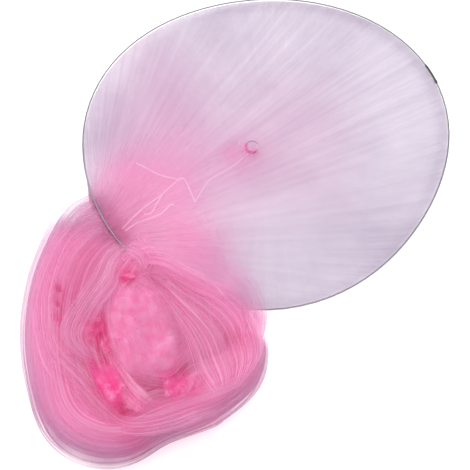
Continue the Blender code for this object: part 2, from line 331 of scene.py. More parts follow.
def cloth_shader(tree, colour, height):
    """The lit net: a dull surface that also lets light through, with its threads slightly raised."""
    cloth = tree.nodes.new("ShaderNodeBsdfPrincipled")
    fill(cloth, {"Roughness": 0.8, "Specular IOR Level": 0.08})
    through = tree.nodes.new("ShaderNodeBsdfTranslucent")
    link(tree, colour, cloth.inputs["Base Color"])
    link(tree, colour, through.inputs["Color"])
    raise_surface(tree, height, 0.2, 0.002, cloth)
    lit = tree.nodes.new("ShaderNodeMixShader")
    fill(lit, {"Fac": GLOW})
    link(tree, cloth.outputs[0], lit.inputs[1])
    link(tree, through.outputs[0], lit.inputs[2])
    return lit.outputs[0]


# %% The tulle material
LINE_SHARPNESS = 11.0
# how many pale lines, painted highlights, and deep lines, painted shade, lie across a metre
HIGHLIGHT_LINES = 120.0
SHADE_LINES = 90.0
MOTTLE_WAVES = 75.0
HAZE_WAVES = 11.0
NET_SHARE = 0.12
# the hem's own pale pink, which is also the painted highlight on the pale lines
HEM_AND_HIGHLIGHT_PINK = (1.0, 0.86, 0.94)


def tulle(name, thin, dense, deep, streak, fine=400.0, haze=0.6, lines=0.0, mottle=0.0):
    """Net whose colour runs from thin to dense, and to deep, a painted shade, in its creases and
    hollows.

    fine says how many streaks there are in a metre. streak, haze, lines and mottle are the
    strengths of the streaks, of the cover's patches, of the thin lines and of the colour's patches.
    """
    made = bpy.data.materials.new(name)
    made.use_nodes = True
    tree = made.node_tree
    tree.nodes.clear()
    # streaks of two widths along the cloth
    thread = times(tree, streaks(tree, fine, 5.0, 3.1, 2.0), 0.6)
    crease = times(tree, streaks(tree, fine / 5, 2.5, 8.7, 1.0), 0.4)
    both = plus(tree, thread, crease)
    wave = around_half(tree, both, streak)
    gathered = attribute(tree, "gather")
    drawn = plus(tree, gathered, times(tree, wave, 0.3), clamp=True)
    plain = blend(tree, thin, dense, drawn)
    # single thin lines, where the net is gathered: pale ones a painted highlight on fold crests, deep
    # ones a painted shade in creases
    drawn_share = times(tree, times(tree, gathered, gathered), lines)
    highlight_line = times(tree, fine_lines(tree, HIGHLIGHT_LINES, 5.3, LINE_SHARPNESS), drawn_share)
    shade_line = times(tree, fine_lines(tree, SHADE_LINES, 12.9, LINE_SHARPNESS), drawn_share)
    # painted shade: deeper pink in creases and hollows; painted highlight: paler on the pale lines
    hollow = attribute(tree, "depth")
    shade_share = plus(tree, times(tree, wave, -0.9), hollow, clamp=True)
    shade_share = plus(tree, shade_share, times(tree, shade_line, 0.5))
    patch = around_half(tree, cloud(tree, MOTTLE_WAVES), mottle)
    shade_share = plus(tree, shade_share, patch, clamp=True)
    colour = blend(tree, plain, deep, shade_share)
    colour = blend(tree, colour, HEM_AND_HIGHLIGHT_PINK, times(tree, highlight_line, 0.7))
    # the cover swings with streaks, net, patches and lines
    weave = times(tree, net_holes(tree), NET_SHARE)
    both_lines = times(tree, plus(tree, highlight_line, shade_line), 0.7)
    factor = plus(tree, plus(tree, times(tree, wave, 1.4), weave), 1.0)
    factor = plus(tree, factor, around_half(tree, cloud(tree, HAZE_WAVES), haze))
    factor = plus(tree, factor, both_lines)
    cover = times(tree, attribute(tree, "cover"), factor, clamp=True)
    lit = cloth_shader(tree, colour, both)
    clear = tree.nodes.new("ShaderNodeBsdfTransparent")
    net = tree.nodes.new("ShaderNodeMixShader")
    link(tree, cover, net.inputs["Fac"])
    link(tree, clear.outputs[0], net.inputs[1])
    link(tree, lit, net.inputs[2])
    out = tree.nodes.new("ShaderNodeOutputMaterial")
    link(tree, net.outputs[0], out.inputs["Surface"])
    return made


# %% The five tulles
# The thin colours, a lilac and a dusty pink, are dark grey-lilacs: painted shade seen through a single
# layer. The deep colours, the deep pink of the heap and the warm pink of the skirt, are painted shade
# in creases and hollows.
SHADE_LILAC = (0.27, 0.21, 0.33)
SHADE_DUSTY_PINK = (0.29, 0.18, 0.30)
PINK = (0.93, 0.49, 0.73)
COOL_PINK = (0.79, 0.33, 0.56)
WARM_PINK = (0.90, 0.37, 0.62)
SHADE_PINK = (0.88, 0.15, 0.43)
roof_tulle = tulle("roof_tulle", SHADE_LILAC, COOL_PINK, COOL_PINK, 0.35, haze=0.3)
skirt_tulle = tulle("skirt_tulle", SHADE_LILAC, COOL_PINK, WARM_PINK, 0.40, fine=200.0, haze=0.3)
coil_tulle = tulle("coil_tulle", SHADE_DUSTY_PINK, PINK, SHADE_PINK, 0.9, lines=0.6, mottle=0.3)
plain_tulle = tulle("plain_tulle", SHADE_DUSTY_PINK, PINK, SHADE_PINK, 0.25, mottle=1.5)
hem_tulle = tulle("hem_tulle", PINK, HEM_AND_HIGHLIGHT_PINK, HEM_AND_HIGHLIGHT_PINK, 0.4)
print("materials so far", [made.name for made in bpy.data.materials])

# %% [markdown]
# ## From rows of points to cloth
#
# Each cloth is a grid of points worked out by formula: one way across the cloth, one way along it.
# The grid keeps two flat measures of every point as its UV map, in metres, so that the streaks
# run along the cloth wherever it goes. Where a net stands steeply, light from above crosses more
# of its threads, so its cover grows there: that is what draws the folds of a sheer cloth. Blender's
# cloth physics could drop a sheet into folds too, but not into these ones.

# %% A helper that makes a sheet from a grid
MOST_COVER = 0.97
# from this share of level on, a steeper cloth covers no more
STEEPEST = 0.30


def grid_faces(rows, columns, around):
    """Four-cornered faces between neighbouring points, closed across the columns if around is set."""
    row = np.arange(rows - 1)[:, None]
    column = np.arange(columns if around else columns - 1)[None, :]
    after = (column + 1) % columns
    corners = [row * columns + column, row * columns + after]
    corners += [(row + 1) * columns + after, (row + 1) * columns + column]
    return np.stack(np.broadcast_arrays(*corners), -1).reshape(-1, 4)


def steep_cover(points, cover, steepest):
    """The cover of a net seen from above: thicker where the cloth stands more upright."""
    normal = np.cross(np.gradient(points, axis=0), np.gradient(points, axis=1))
    level = np.abs(normal[..., 2]) / np.maximum(np.linalg.norm(normal, axis=-1), 1e-12)
    return 1 - (1 - np.clip(cover, 0, MOST_COVER)) ** (1 / np.maximum(level, steepest))


def make_sheet(
    name, points, flat_across, flat_along, gather, cover, finish,
    depth=0.0, around=False, creased=False, steepest=STEEPEST,
):
    """A sheet mesh from points[row, column], with its flat measures, its colour and its cover."""
    shape = points.shape[:2]
    faces = grid_faces(*shape, around)
    mesh = bpy.data.meshes.new(name)
    mesh.vertices.add(shape[0] * shape[1])
    mesh.vertices.foreach_set("co", (points + SHIFT).reshape(-1))
    mesh.loops.add(faces.size)
    mesh.loops.foreach_set("vertex_index", faces.reshape(-1))
    mesh.polygons.add(len(faces))
    mesh.polygons.foreach_set("loop_start", np.arange(0, faces.size, 4))
    mesh.update(calc_edges=True)
    flat = np.stack([np.broadcast_to(flat_across, shape), np.broadcast_to(flat_along, shape)], -1)
    corners = flat.reshape(-1, 2)[faces.reshape(-1)]
    mesh.uv_layers.new(name="cloth").data.foreach_set("uv", corners.reshape(-1))
    thick = np.clip(cover, 0, MOST_COVER) if creased else steep_cover(points, cover, steepest)
    for word, values in (("gather", gather), ("cover", thick), ("depth", depth)):
        drawn = mesh.attributes.new(word, "FLOAT", "POINT")
        spread = np.broadcast_to(values, shape).reshape(-1)
        drawn.data.foreach_set("value", spread.astype(np.float32))
    mesh.materials.append(finish)
    if creased:
        mesh.shade_flat()
    else:
        mesh.shade_smooth()
    piece = bpy.data.objects.new(name, mesh)
    scene.collection.objects.link(piece)
    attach(piece, "root")
    return piece


def area_of(piece):
    return sum(face.area for face in piece.data.polygons)


def declare():
    """Hides the frame's own skirt part, which the cloth pieces replace."""
    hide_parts("skirt")


# %% [markdown]
# ## Folds
#
# Folds of gathered cloth come in several widths at once, and none runs quite straight. A sum of
# waves does that, each with its own slow wander. With its lower half turned up, a wave has the
# round tops and sharp bottoms of folds. The seed fixes the chance, so each run gives the same folds.

# %% Waves for folds
WAVE_MEAN = 0.64


def ripple(distance, lengths, heights, drift, seed):
    """Sharp-bottomed folds of several widths at once, which wander slowly along the cloth."""
    chance = np.random.default_rng(seed)
    total = 0 * distance + 0 * drift
    for length, height in zip(lengths, heights):
        phase = chance.uniform(0, 6.28)
        wander = chance.uniform(0.5, 1.4)
        speed = chance.uniform(4, 9)
        wave = 2 * math.pi * distance / length + phase + wander * np.sin(speed * drift + phase)
        total = total + height * (np.abs(np.sin(wave / 2)) - WAVE_MEAN)
    return total


def ease(value):
    """A smooth step: 0 up to 0, 1 from 1 on, and rounded at both ends."""
    value = np.clip(value, 0, 1)
    return value * value * (3 - 2 * value)


# %% [markdown]
# ## Guide places
#
# The folds of a heap of net are easiest to place as they are seen. A guide place is therefore
# given as the camera sees it, on a frame of 470 by 470, with its height above the floor. One
# function throws it back along its line of sight.

# %% From a seen place to the room
FRAME_SIDE = 470
FOCAL = LENS / SENSOR * FRAME_SIDE
LEAN_COS = math.cos(math.radians(LEAN))
LEAN_SIN = math.sin(math.radians(LEAN))


def seen(across, down, height):
    """The point at this height that the camera sees at this place of its frame."""
    right = (np.asarray(across) - FRAME_SIDE / 2) / FOCAL
    up = (FRAME_SIDE / 2 - np.asarray(down)) / FOCAL
    toward_y = up * LEAN_SIN + LEAN_COS
    toward_z = up * LEAN_COS - LEAN_SIN
    eye = EYE - SHIFT
    reach = (np.asarray(height) - eye[2]) / toward_z
    return np.stack(np.broadcast_arrays(eye[0] + reach * right, eye[1] + reach * toward_y, height), -1)


def seen_from(points):
    """Where the camera sees these points: across and down its frame."""
    away = points - (EYE - SHIFT)
    depth = away[..., 1] * LEAN_COS - away[..., 2] * LEAN_SIN
    up = away[..., 1] * LEAN_SIN + away[..., 2] * LEAN_COS
    return FRAME_SIDE / 2 + FOCAL * away[..., 0] / depth, FRAME_SIDE / 2 - FOCAL * up / depth


# %% [markdown]
# ## Pink, shaded, deep and thin places
#
# Cloth by hand isn't even: here it is drawn up, and at the heap's rim one clear layer hangs out
# alone. Under the roof some places are painted darker, as shade, and the heap's deep places are
# painted a deeper pink, as shade too. Such places are soft round patches. Each is listed as it is
# seen: across, down, how far it reaches, and how strong it is. Every cloth that passes one takes its
# share, so the layers over each other agree.

# %% Soft patches over the cloth
def patches(points, table):
    """Adds up soft round patches from a table of across, down, reach and amount."""
    across, down = seen_from(points)
    total = 0 * across
    for place_across, place_down, reach, amount in table:
        away = ((across - place_across) ** 2 + (down - place_down) ** 2) / reach ** 2
        total = total + amount * np.exp(-away)
    return total


# %% Where the skirt under the roof is drawn up pink
GATHERED = [
    (135, 236, 40, 0.55), (130, 196, 30, 0.26), (172, 165, 42, 0.28), (176, 200, 26, 0.16),
    (190, 246, 30, 0.46), (113, 228, 19, 0.36), (285, 120, 40, 0.05), (225, 228, 28, 0.07),
    (215, 272, 26, 0.30), (238, 292, 18, 0.20), (128, 168, 28, 0.20), (112, 118, 30, 0.07),
    (108, 172, 24, 0.10), (102, 205, 22, 0.14), (241, 158, 20, 0.14), (231, 152, 9, 0.16),
    (262, 170, 40, 0.09), (165, 112, 44, 0.14), (150, 62, 40, 0.09), (240, 125, 95, 0.11),
    (325, 185, 45, 0.06), (330, 120, 45, 0.06), (215, 175, 40, 0.08),
]

# %% Where the skirt under the roof is painted darker, as shade: soft patches of more cover
SHADE_PATCHES = [
    (395, 235, 55, 0.05), (440, 165, 30, 0.02), (375, 245, 36, 0.05), (300, 290, 60, 0.04),
    (350, 20, 50, 0.03), (215, 15, 40, 0.04), (90, 140, 24, 0.10), (108, 98, 22, 0.06),
]

# %% The deep places of the heap
# pits are dropped lower and thicker in the rolls, and every cloth over them is painted a deeper pink
# there, as shade
PITS = [
    (125, 274, 9, 1.0), (96, 328, 13, 0.8), (108, 382, 13, 0.9), (120, 408, 10, 0.7),
    (174, 380, 13, 1.0), (197, 384, 9, 0.4), (58, 286, 5, 0.9), (57, 300, 5, 0.9),
    (57, 316, 5, 0.8), (134, 440, 16, 0.35), (238, 340, 14, 0.35),
]

# %% Where the heap's rim is one loose layer, and nearly clear
# there the gather falls too, so the colour turns to the thin dusty grey-lilac, painted shade
THIN = [
    (92, 472, 26, 0.62), (68, 456, 20, 0.45), (46, 432, 14, 0.30), (124, 471, 15, 0.45),
    (154, 461, 12, 0.35), (256, 300, 15, 0.65), (71, 213, 13, 0.35), (238, 290, 13, 0.40),
    (216, 276, 12, 0.30), (176, 440, 18, 0.22), (136, 452, 16, 0.26), (234, 400, 18, 0.22),
    (74, 222, 12, 0.15),
]

# %% [markdown]
# ## The roof
#
# The roof is one layer of tulle, sewn to the wire all round and held by the ring in the middle.
# It sags a few millimetres and has soft folds that run out from the ring. Its edge turns over the
# wire, as the sewn casing does. A filled circle would have no points to sag with, and a polar
# grid follows folds that run outward with few of them.

# %% The roof panel
RING = np.array([-0.0254, -0.0137])
PANEL_SAG = 0.0090
PANEL_FOLD = 0.0014
ROOF_COVER = 0.24
ROOF_ROWS = 60
ROOF_COLUMNS = 360
CASING_ROWS = 7
CASING_GAP = 0.0006
CASING_HALF_TURNS = 1.4
MEAN_REACH = 0.3


def panel_height(x, y):
    """The height of the sagging roof over this place."""
    share = share_of_rim(x, y)
    way = np.arctan2(y - RING[1], x - RING[0])
    folds = 0.5 + 0.3 * np.sin(7 * way + 0.6) + 0.2 * np.sin(11 * way + 2.0)
    lift = PANEL_FOLD * folds * share * (1 - share ** 4)
    return hoop_plane(x, y) - PANEL_SAG * (1 - share ** 2) + lift


def make_roof():
    shares = np.concatenate([np.linspace(0.001, 0.99, ROOF_ROWS), np.full(CASING_ROWS, 1.0)])[:, None]
    ways = np.linspace(0, 2 * math.pi, ROOF_COLUMNS, endpoint=False)[None, :]
    radius = hoop_radius(ways)
    past = np.clip(np.arange(ROOF_ROWS + CASING_ROWS) - ROOF_ROWS, 0, None)[:, None]
    turn = past / (CASING_ROWS - 1) * CASING_HALF_TURNS * math.pi
    casing = WIRE + CASING_GAP
    reach = np.where(shares < 1, shares * (radius - casing), radius - casing * np.cos(turn))
    x, y = reach * np.cos(ways), reach * np.sin(ways)
    height = panel_height(x, y)
    height = np.where(shares < 1, height, hoop_plane(x, y) + casing * np.sin(turn))
    fine = ripple(ways * MEAN_REACH, [0.05, 0.021], [0.0006, 0.0004], shares, 3)
    height = height + fine * shares * (1 - shares)
    points = np.stack(np.broadcast_arrays(x, y, height), -1)
    near_ring = np.exp(-((np.hypot(x - RING[0], y - RING[1]) / 0.03) ** 2))
    gather = 0.05 + 0.3 * near_ring + 0.5 * patches(points, GATHERED)
    cover = ROOF_COVER * np.where(shares < 1, 1, 0.3)
    across = ways * MEAN_REACH
    roof = make_sheet("roof_cloth", points, across, reach, gather, cover, roof_tulle, around=True)
    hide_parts("top_panel")


make_roof()

# %% [markdown]
# ## The skirt under the roof
#
# The skirt is sewn to the wire all round and drawn together to the throat, where it passes under
# the wire. Seen through the roof, its pleats are streaks that fan out from the throat. Each column
# of the grid is one thread line from the rim to the throat. The columns crowd there, so their
# pleats stand higher, as real gathered cloth does. Two such fans, one above the other, look
# as deep as the many layers of the real skirt.

# %% The fan of gathered skirt
THROAT_FIRST = math.radians(224)
THROAT_LAST = math.radians(207)
THROAT_BEYOND = 1.045
FAN_COLUMNS = 700
FAN_ROWS = 70
FAN_COVER = 0.165
FAN_RIM = 1.9
FAN_FALL = 0.55
UNDER_ROOF = 0.0016


def fan_sheet(name, seed, depth, tall, lowest):
    """One gathered layer: seed of its folds, its sag, the height of its pleats, its lowest height."""
    # each thread line runs straight from its place on the rim to its place in the throat
    around = np.linspace(0, 1, FAN_COLUMNS)[None, :]
    along = np.linspace(0, 1, FAN_ROWS)[:, None]
    whole_turn = 2 * math.pi + THROAT_LAST - THROAT_FIRST
    rim = hoop_line(THROAT_FIRST + whole_turn * around)
    rim_x, rim_y = rim[..., 0] * 0.996, rim[..., 1] * 0.996
    goal = hoop_line(THROAT_FIRST + (THROAT_LAST - THROAT_FIRST) * around) * THROAT_BEYOND
    x = rim_x + (goal[..., 0] - rim_x) * along
    y = rim_y + (goal[..., 1] - rim_y) * along
    crowd = along ** 2.2
    folds = ripple(around * FAN_RIM, [0.062, 0.028, 0.0125], [0.5, 0.35, 0.25], along, seed)
    rise = 0.0010 + tall * crowd
    ceiling = panel_height(x, y) - UNDER_ROOF
    height = ceiling - 0.0008 - depth * np.sin(math.pi * along) ** 0.7 - rise * (0.6 - folds)
    height = np.minimum(height, ceiling)
    points = np.stack([x, y, np.maximum(height, lowest + 0.0002 * folds)], -1)
    # it is pinker and thicker where it is drawn up, and fades out past the wire
    pink = patches(points, GATHERED)
    share = share_of_rim(x, y)
    # more cover as it falls past the wire, and patches of more cover that paint shade
    fall = 0.06 * ease((share - 0.90) / 0.08) + patches(points, SHADE_PATCHES)
    bunched = along ** 5
    gather = 1.02 - np.exp(-2.6 * pink) + 0.12 * folds + bunched
    thick = FAN_COVER * (1 + 0.18 * folds) + fall + 0.68 * np.clip(pink, 0, 0.9)
    thick = thick * (1 - 0.25 * ease((around - 0.86) / 0.1)) * (1 - 0.7 * bunched)
    thick = thick * (1 - 0.95 * ease((share - 1.0) / 0.035))
    # painted shade: where it is drawn up most, the colour turns to the skirt's deep pink
    hollow = np.clip(1.6 * (pink - 0.45), 0, 1)
    gather = np.clip(gather, 0, 1)
    across = around * FAN_RIM
    fan = make_sheet(name, points, across, along * FAN_FALL, gather, thick, skirt_tulle, depth=hollow)
    declare()


fan_sheet("skirt_fan_upper", 11, 0.0012, 0.0016, 0.0014)
fan_sheet("skirt_fan_lower", 23, 0.0060, 0.0030, 0.0006)

# %% [markdown]
# ## The wound skirt
#
# Beyond the wire the whole skirt is one thick rope of loose cloth, wound into a nest. A rope of
# cloth is a sheet rolled up, so each length of it is made as a spiral roll, carried along a smooth
# line through a short table of places. Folds run along the roll, so its outer turns show
# fine strands. A curve with a bevel would give a plain tube, with no turns inside.

# %% Tables of the coils
# each row, in millimetres: x, y, z of the middle, then half the width and half the height
OUTER_COIL = np.array([
    (-172, -100, 8, 50, 11),
    (-222, -126, 13, 74, 16),
    (-268, -166, 20, 73, 24),
    (-297, -227, 36, 62, 43),
    (-311, -290, 46, 61, 52),
    (-314, -360, 48, 62, 55),
    (-304, -432, 48, 61, 56),
    (-277, -500, 46, 62, 53),
    (-227, -520, 44, 58, 50),
    (-166, -494, 46, 50, 53),
    (-106, -464, 50, 58, 56),
    (-52, -428, 54, 67, 58),
    (-29, -372, 58, 68, 58),
]) / 1000
INNER_COIL = np.array([
    (-40, -398, 56, 58, 52),
    (-44, -352, 63, 58, 54),
    (-74, -310, 69, 52, 48),
    (-118, -284, 73, 44, 41),
    (-160, -268, 77, 40, 40),
    (-196, -276, 82, 40, 41),
    (-220, -312, 86, 40, 42),
    (-225, -368, 87, 39, 43),
    (-207, -424, 84, 39, 42),
    (-166, -446, 80, 38, 41),
    (-126, -414, 78, 38, 40),
    (-118, -358, 74, 34, 36),
]) / 1000
BED = np.array([
    (-262, -290, 46, 50, 36),
    (-222, -330, 50, 105, 44),
    (-176, -372, 50, 128, 46),
    (-132, -414, 50, 110, 46),
    (-100, -445, 46, 100, 40),
]) / 1000

# %% Helpers for cloth along a table
ABOVE_WIRE = 0.0030
BELOW_WIRE = 0.0035


def smooth_rows(rows, shares):
    """Places on a smooth curve through a table's rows, for shares from 0 to 1 of its length."""
    table = np.array(rows, float)
    last = len(table) - 1
    place = np.minimum(np.asarray(shares) * last, last - 1e-6)
    first = place.astype(int)
    t = (place - first)[:, None]
    a, b = table[np.maximum(first - 1, 0)], table[first]
    c, d = table[first + 1], table[np.minimum(first + 2, last)]
    bend, twist = 2 * a - 5 * b + 4 * c - d, 3 * (b - c) + d - a
    return 0.5 * (2 * b + (c - a) * t + bend * t * t + twist * t ** 3)


def keep_clear(points, above):
    """Lifts cloth that crosses over the hoop off the roof, and holds what goes under it below."""
    x, y, z = points[..., 0], points[..., 1], points[..., 2]
    outside = np.hypot(x, y) - hoop_radius(np.arctan2(y, x)) - 0.004
    plane = hoop_plane(x, y)
    if above:
        lowest = (plane + ABOVE_WIRE) * np.clip(1 - outside / 0.035, 0, 1)
        z = np.where(outside < 0.035, np.maximum(z, lowest), z)
    else:
        highest = plane - BELOW_WIRE + 2 * np.clip(outside, 0, None)
        z = np.minimum(z, np.where(outside < 0.03, highest, 1.0))
    return np.stack([x, y, np.maximum(z, 0.0008)], -1)


def run_length(points):
    """How far along a line of points each of them lies."""
    return np.concatenate([[0], np.cumsum(np.linalg.norm(np.diff(points, axis=0), axis=1))])


# %% The shape of a roll of cloth
# widths of the folds, then their heights
STRANDS = ([0.045, 0.019, 0.0085], [0.0060, 0.0034, 0.0018])


def roll_up(rows, turns, core, steps, columns, seed, start):
    """A spiral roll along a table's line: its points, its flat measures, and how far in they lie."""
    # the line that the roll follows, and the way across it
    shares = np.linspace(0, 1, steps)
    here = smooth_rows(rows, shares)
    ahead = smooth_rows(rows, np.minimum(shares + 0.01, 1))
    behind = smooth_rows(rows, np.maximum(shares - 0.01, 0))
    along = (ahead - behind)[:, :2]
    along /= np.linalg.norm(along, axis=1)[:, None]
    across = np.stack([-along[:, 1], along[:, 0]], -1)
    length = run_length(here[:, :3])
    # the spiral: angle and size from the outer edge in to the core
    roll = np.linspace(0, 1, columns)[None, :]
    inward = (1 - core) * roll
    angle = start + 2 * math.pi * turns * roll + 1.2 * shares[:, None]
    mean = float(np.mean(here[:, 3]))
    unrolled = 2 * math.pi * turns * mean * (roll - (1 - core) * roll ** 2 / 2)
    folds = ripple(unrolled, *STRANDS, shares[:, None] * length[-1] * 1.6, seed)
    # first is 0 on the outermost turn and 1 inside: the silhouette keeps calmer pleats
    first = ease((roll * turns - 0.15) / 1.5)
    folds = folds * (1 - 0.8 * np.cos(angle) ** 8 * (1 - first))
    # the roll swells here and there, and narrows to its two ends
    end = np.clip(0.35 + 4 * np.minimum(shares, 1 - shares), 0, 1)[:, None]
    big = 1 + 0.14 * (np.abs(np.cos(3.5 * angle - 5 * shares[:, None])) - 0.8)
    scale = (1 - inward) * big
    wide = (here[:, 3][:, None] * scale + folds) * end * np.cos(angle)
    tall = (here[:, 4][:, None] * scale + folds - 0.002) * end * np.sin(angle)
    x = here[:, 0][:, None] + across[:, 0][:, None] * wide
    y = here[:, 1][:, None] + across[:, 1][:, None] * wide
    z = here[:, 2][:, None] + tall
    return np.stack([x, y, z], -1), unrolled, length[:, None], first


# %% The pits, the rim and the cover of a roll
NEST_MIDDLE = (-0.175, -0.365)
PIT_DROP = 0.020
FADE_LENGTH = 0.13
COIL_STEEPEST = 0.75


def rolled_cloth(
    name, rows, turns, core, steps, columns, seed, above, start=0.0, fade=0.0, thick=1.0
):
    """A sheet rolled up turns times, from its outer edge in to its core, carried along a table."""
    points, unrolled, length, first = roll_up(rows, turns, core, steps, columns, seed, start)
    pit = np.clip(patches(points, PITS), 0, 1)
    points[..., 2] -= PIT_DROP * pit * (points[..., 2] > 0.03)
    points = keep_clear(points, above)
    # thin places, and the heap's rim, where only a layer or two hangs out; there the gather falls,
    # which paints the dusty grey-lilac of shade
    thin = 1 - np.clip(patches(points, THIN), 0, 0.95)
    out = np.hypot(points[..., 0] - NEST_MIDDLE[0], points[..., 1] - NEST_MIDDLE[1])
    rim = ease((out / out.max(1, keepdims=True) - 0.84) / 0.16) * (not above)
    gather = 0.82 + 0.18 * first - 0.50 * rim - 0.5 * (1 - thin)
    cover = ((0.30 + 0.22 * first) * thick + 0.35 * pit) * thin * (1 - 0.05 * rim)
    shares = np.linspace(0, 1, steps)[:, None]
    cover = cover * ease(30 * np.minimum(shares, 1 - shares))
    if above:
        share = share_of_rim(points[..., 0], points[..., 1])
        cover = cover * (0.3 + 0.7 * ease((share - 0.92) / 0.08))
    if fade:
        begun = ease((length - fade) / FADE_LENGTH)
        cover = cover * (0.02 + 0.98 * begun)
        gather = gather * (0.4 + 0.6 * begun)
    gather = np.clip(gather, 0, 1)
    # the pits take the deep pink through depth: painted shade
    piece = make_sheet(
        name, points, unrolled, length, gather, cover, coil_tulle,
        depth=0.9 * pit, steepest=COIL_STEEPEST,
    )
    declare()


# %% The bed and the two coils
rolled_cloth("skirt_bed", BED, 2.0, 0.6, 40, 400, 5, True, thick=1.6)
rolled_cloth("skirt_outer_coil", OUTER_COIL, 4.0, 0.35, 110, 760, 6, False, 1.0, fade=0.06)
rolled_cloth("skirt_inner_coil", INNER_COIL, 3.0, 0.40, 90, 520, 7, True, 2.0, thick=0.6)

# %% [markdown]
# ## Loose bands over the heap
#
# Loops of the same skirt lie loosely over the rolls and over the wire. Each is a band between two
# edges. Its rows give both edges as they are seen, and its pleats run along it. Sculpting could
# shape the same loops by hand, but a table can be corrected row by row beside the reference.

# %% A band of pleated net between two guided edges
# widths of the folds, then their heights
LOOSE = ([0.030, 0.013, 0.006], [0.0045, 0.0028, 0.0014])
SOFT = ([0.060, 0.024], [0.0016, 0.0008])
PLEAT_STRETCH = 1.3
EDGE_UNITS = (1, 1, 1000, 1, 1, 1000)


def band(
    name, rows, columns, steps, bulge, pleats, seed, gather, cover,
    above=True, deep=0.0, net=coil_tulle,
):
    """A sheet between an outer and an inner edge. Rows: across, down, height of each edge."""
    guide = smooth_rows(np.array(rows) / EDGE_UNITS, np.linspace(0, 1, steps))
    outer = seen(guide[:, 0], guide[:, 1], guide[:, 2])
    inner = seen(guide[:, 3], guide[:, 4], guide[:, 5])
    share = np.linspace(0, 1, columns)[None, :]
    points = outer[:, None] * (1 - share[..., None]) + inner[:, None] * share[..., None]
    width = np.linalg.norm(outer - inner, axis=1)
    length = run_length((outer + inner) / 2)
    flat_across = share * float(width.mean()) * PLEAT_STRETCH
    folds = ripple(flat_across, *pleats, length[:, None], seed)
    arch = np.sin(math.pi * share)
    points[..., 2] += bulge * arch + folds * arch ** 0.3
    points = keep_clear(points, above)
    edge = ease(np.minimum(share, 1 - share) * 6)
    ends = ease(np.minimum(length, length[-1] - length)[:, None] / 0.04)
    pit = np.clip(patches(points, PITS), 0, 1)
    thin = 1 - np.clip(patches(points, THIN), 0, 0.95)
    drawn = np.clip(gather - 0.45 * (1 - thin), 0, 1)
    thick = cover * (0.2 + 0.8 * edge) * (0.1 + 0.9 * ends) * thin
    # painted shade: depth, from the pits and from deep, turns the colour to the deep pink; a band
    # without much of it thins out over the pits
    if deep < 0.5:
        thick = thick * (1 - 0.7 * pit)
    hollow = np.clip(0.5 * pit + deep, 0, 1)
    piece = make_sheet(name, points, flat_across, length[:, None], drawn, thick, net, depth=hollow)
    declare()


# %% The sweep along the left edge
# outer edge across, down, height in millimetres, then the same for the inner edge
LEFT_SWEEP = [
    (98, 170, 8, 126, 226, 16),
    (89, 189, 12, 119, 236, 30),
    (62, 213, 40, 94, 236, 62),
    (40, 250, 70, 76, 250, 90),
    (29, 306, 85, 63, 272, 103),
    (30, 338, 88, 58, 302, 107),
    (45, 378, 88, 60, 335, 108),
    (72, 404, 84, 86, 366, 106),
    (100, 428, 80, 104, 392, 102),
    (134, 438, 80, 122, 414, 100),
    (182, 430, 84, 150, 414, 102),
    (224, 410, 88, 186, 404, 104),
]
band("skirt_left_sweep", LEFT_SWEEP, 150, 130, 0.004, LOOSE, 31, 0.85, 0.24, above=False)

# %% The lining of the deep places, a sheet of deep pink that paints their shade, and the folds below them
PIT_SHADE_LINING = [
    (78, 312, 94, 104, 308, 102),
    (76, 332, 94, 112, 330, 102),
    (80, 354, 94, 116, 350, 100),
    (88, 376, 92, 124, 370, 98),
    (96, 398, 90, 138, 388, 96),
    (110, 418, 88, 160, 398, 94),
]
LOWER_FOLDS = [
    (104, 362, 98, 114, 352, 104),
    (110, 378, 96, 124, 366, 104),
    (118, 396, 96, 138, 382, 104),
    (128, 410, 96, 150, 392, 104),
    (146, 416, 96, 160, 402, 100),
]
band("skirt_pit_shade_lining", PIT_SHADE_LINING, 80, 70, -0.004, LOOSE, 39, 1.0, 0.75, deep=0.7)
band("skirt_lower_folds", LOWER_FOLDS, 70, 60, 0.005, LOOSE, 36, 1.0, 0.5)

# %% The loop inside the sweep, and the puff in the middle of the nest
INNER_LEFT = [
    (124, 240, 55, 128, 256, 85),
    (104, 252, 88, 124, 270, 112),
    (90, 276, 104, 120, 288, 122),
    (75, 298, 110, 106, 306, 124),
    (62, 319, 110, 96, 324, 120),
    (60, 338, 108, 90, 338, 116),
    (72, 355, 106, 96, 350, 112),
    (94, 370, 100, 108, 358, 106),
]
PUFF = [
    (118, 282, 108, 134, 280, 108),
    (110, 300, 118, 160, 294, 114),
    (104, 320, 122, 174, 314, 118),
    (109, 337, 124, 181, 336, 120),
    (113, 354, 122, 183, 356, 118),
    (118, 372, 116, 176, 372, 114),
    (134, 390, 106, 160, 386, 106),
]
PUFF_CREST = [
    (104, 316, 120, 114, 308, 120),
    (112, 330, 128, 128, 320, 129),
    (126, 346, 130, 146, 336, 131),
    (138, 362, 124, 162, 354, 126),
    (150, 386, 110, 170, 374, 114),
]
band("skirt_inner_left", INNER_LEFT, 130, 90, 0.008, LOOSE, 32, 0.75, 0.45)
band("skirt_puff", PUFF, 130, 70, 0.010, SOFT, 34, 1.0, 0.6, deep=0.22, net=plain_tulle)
band("skirt_puff_crest", PUFF_CREST, 60, 60, 0.003, SOFT, 35, 0.8, 0.30, net=plain_tulle)

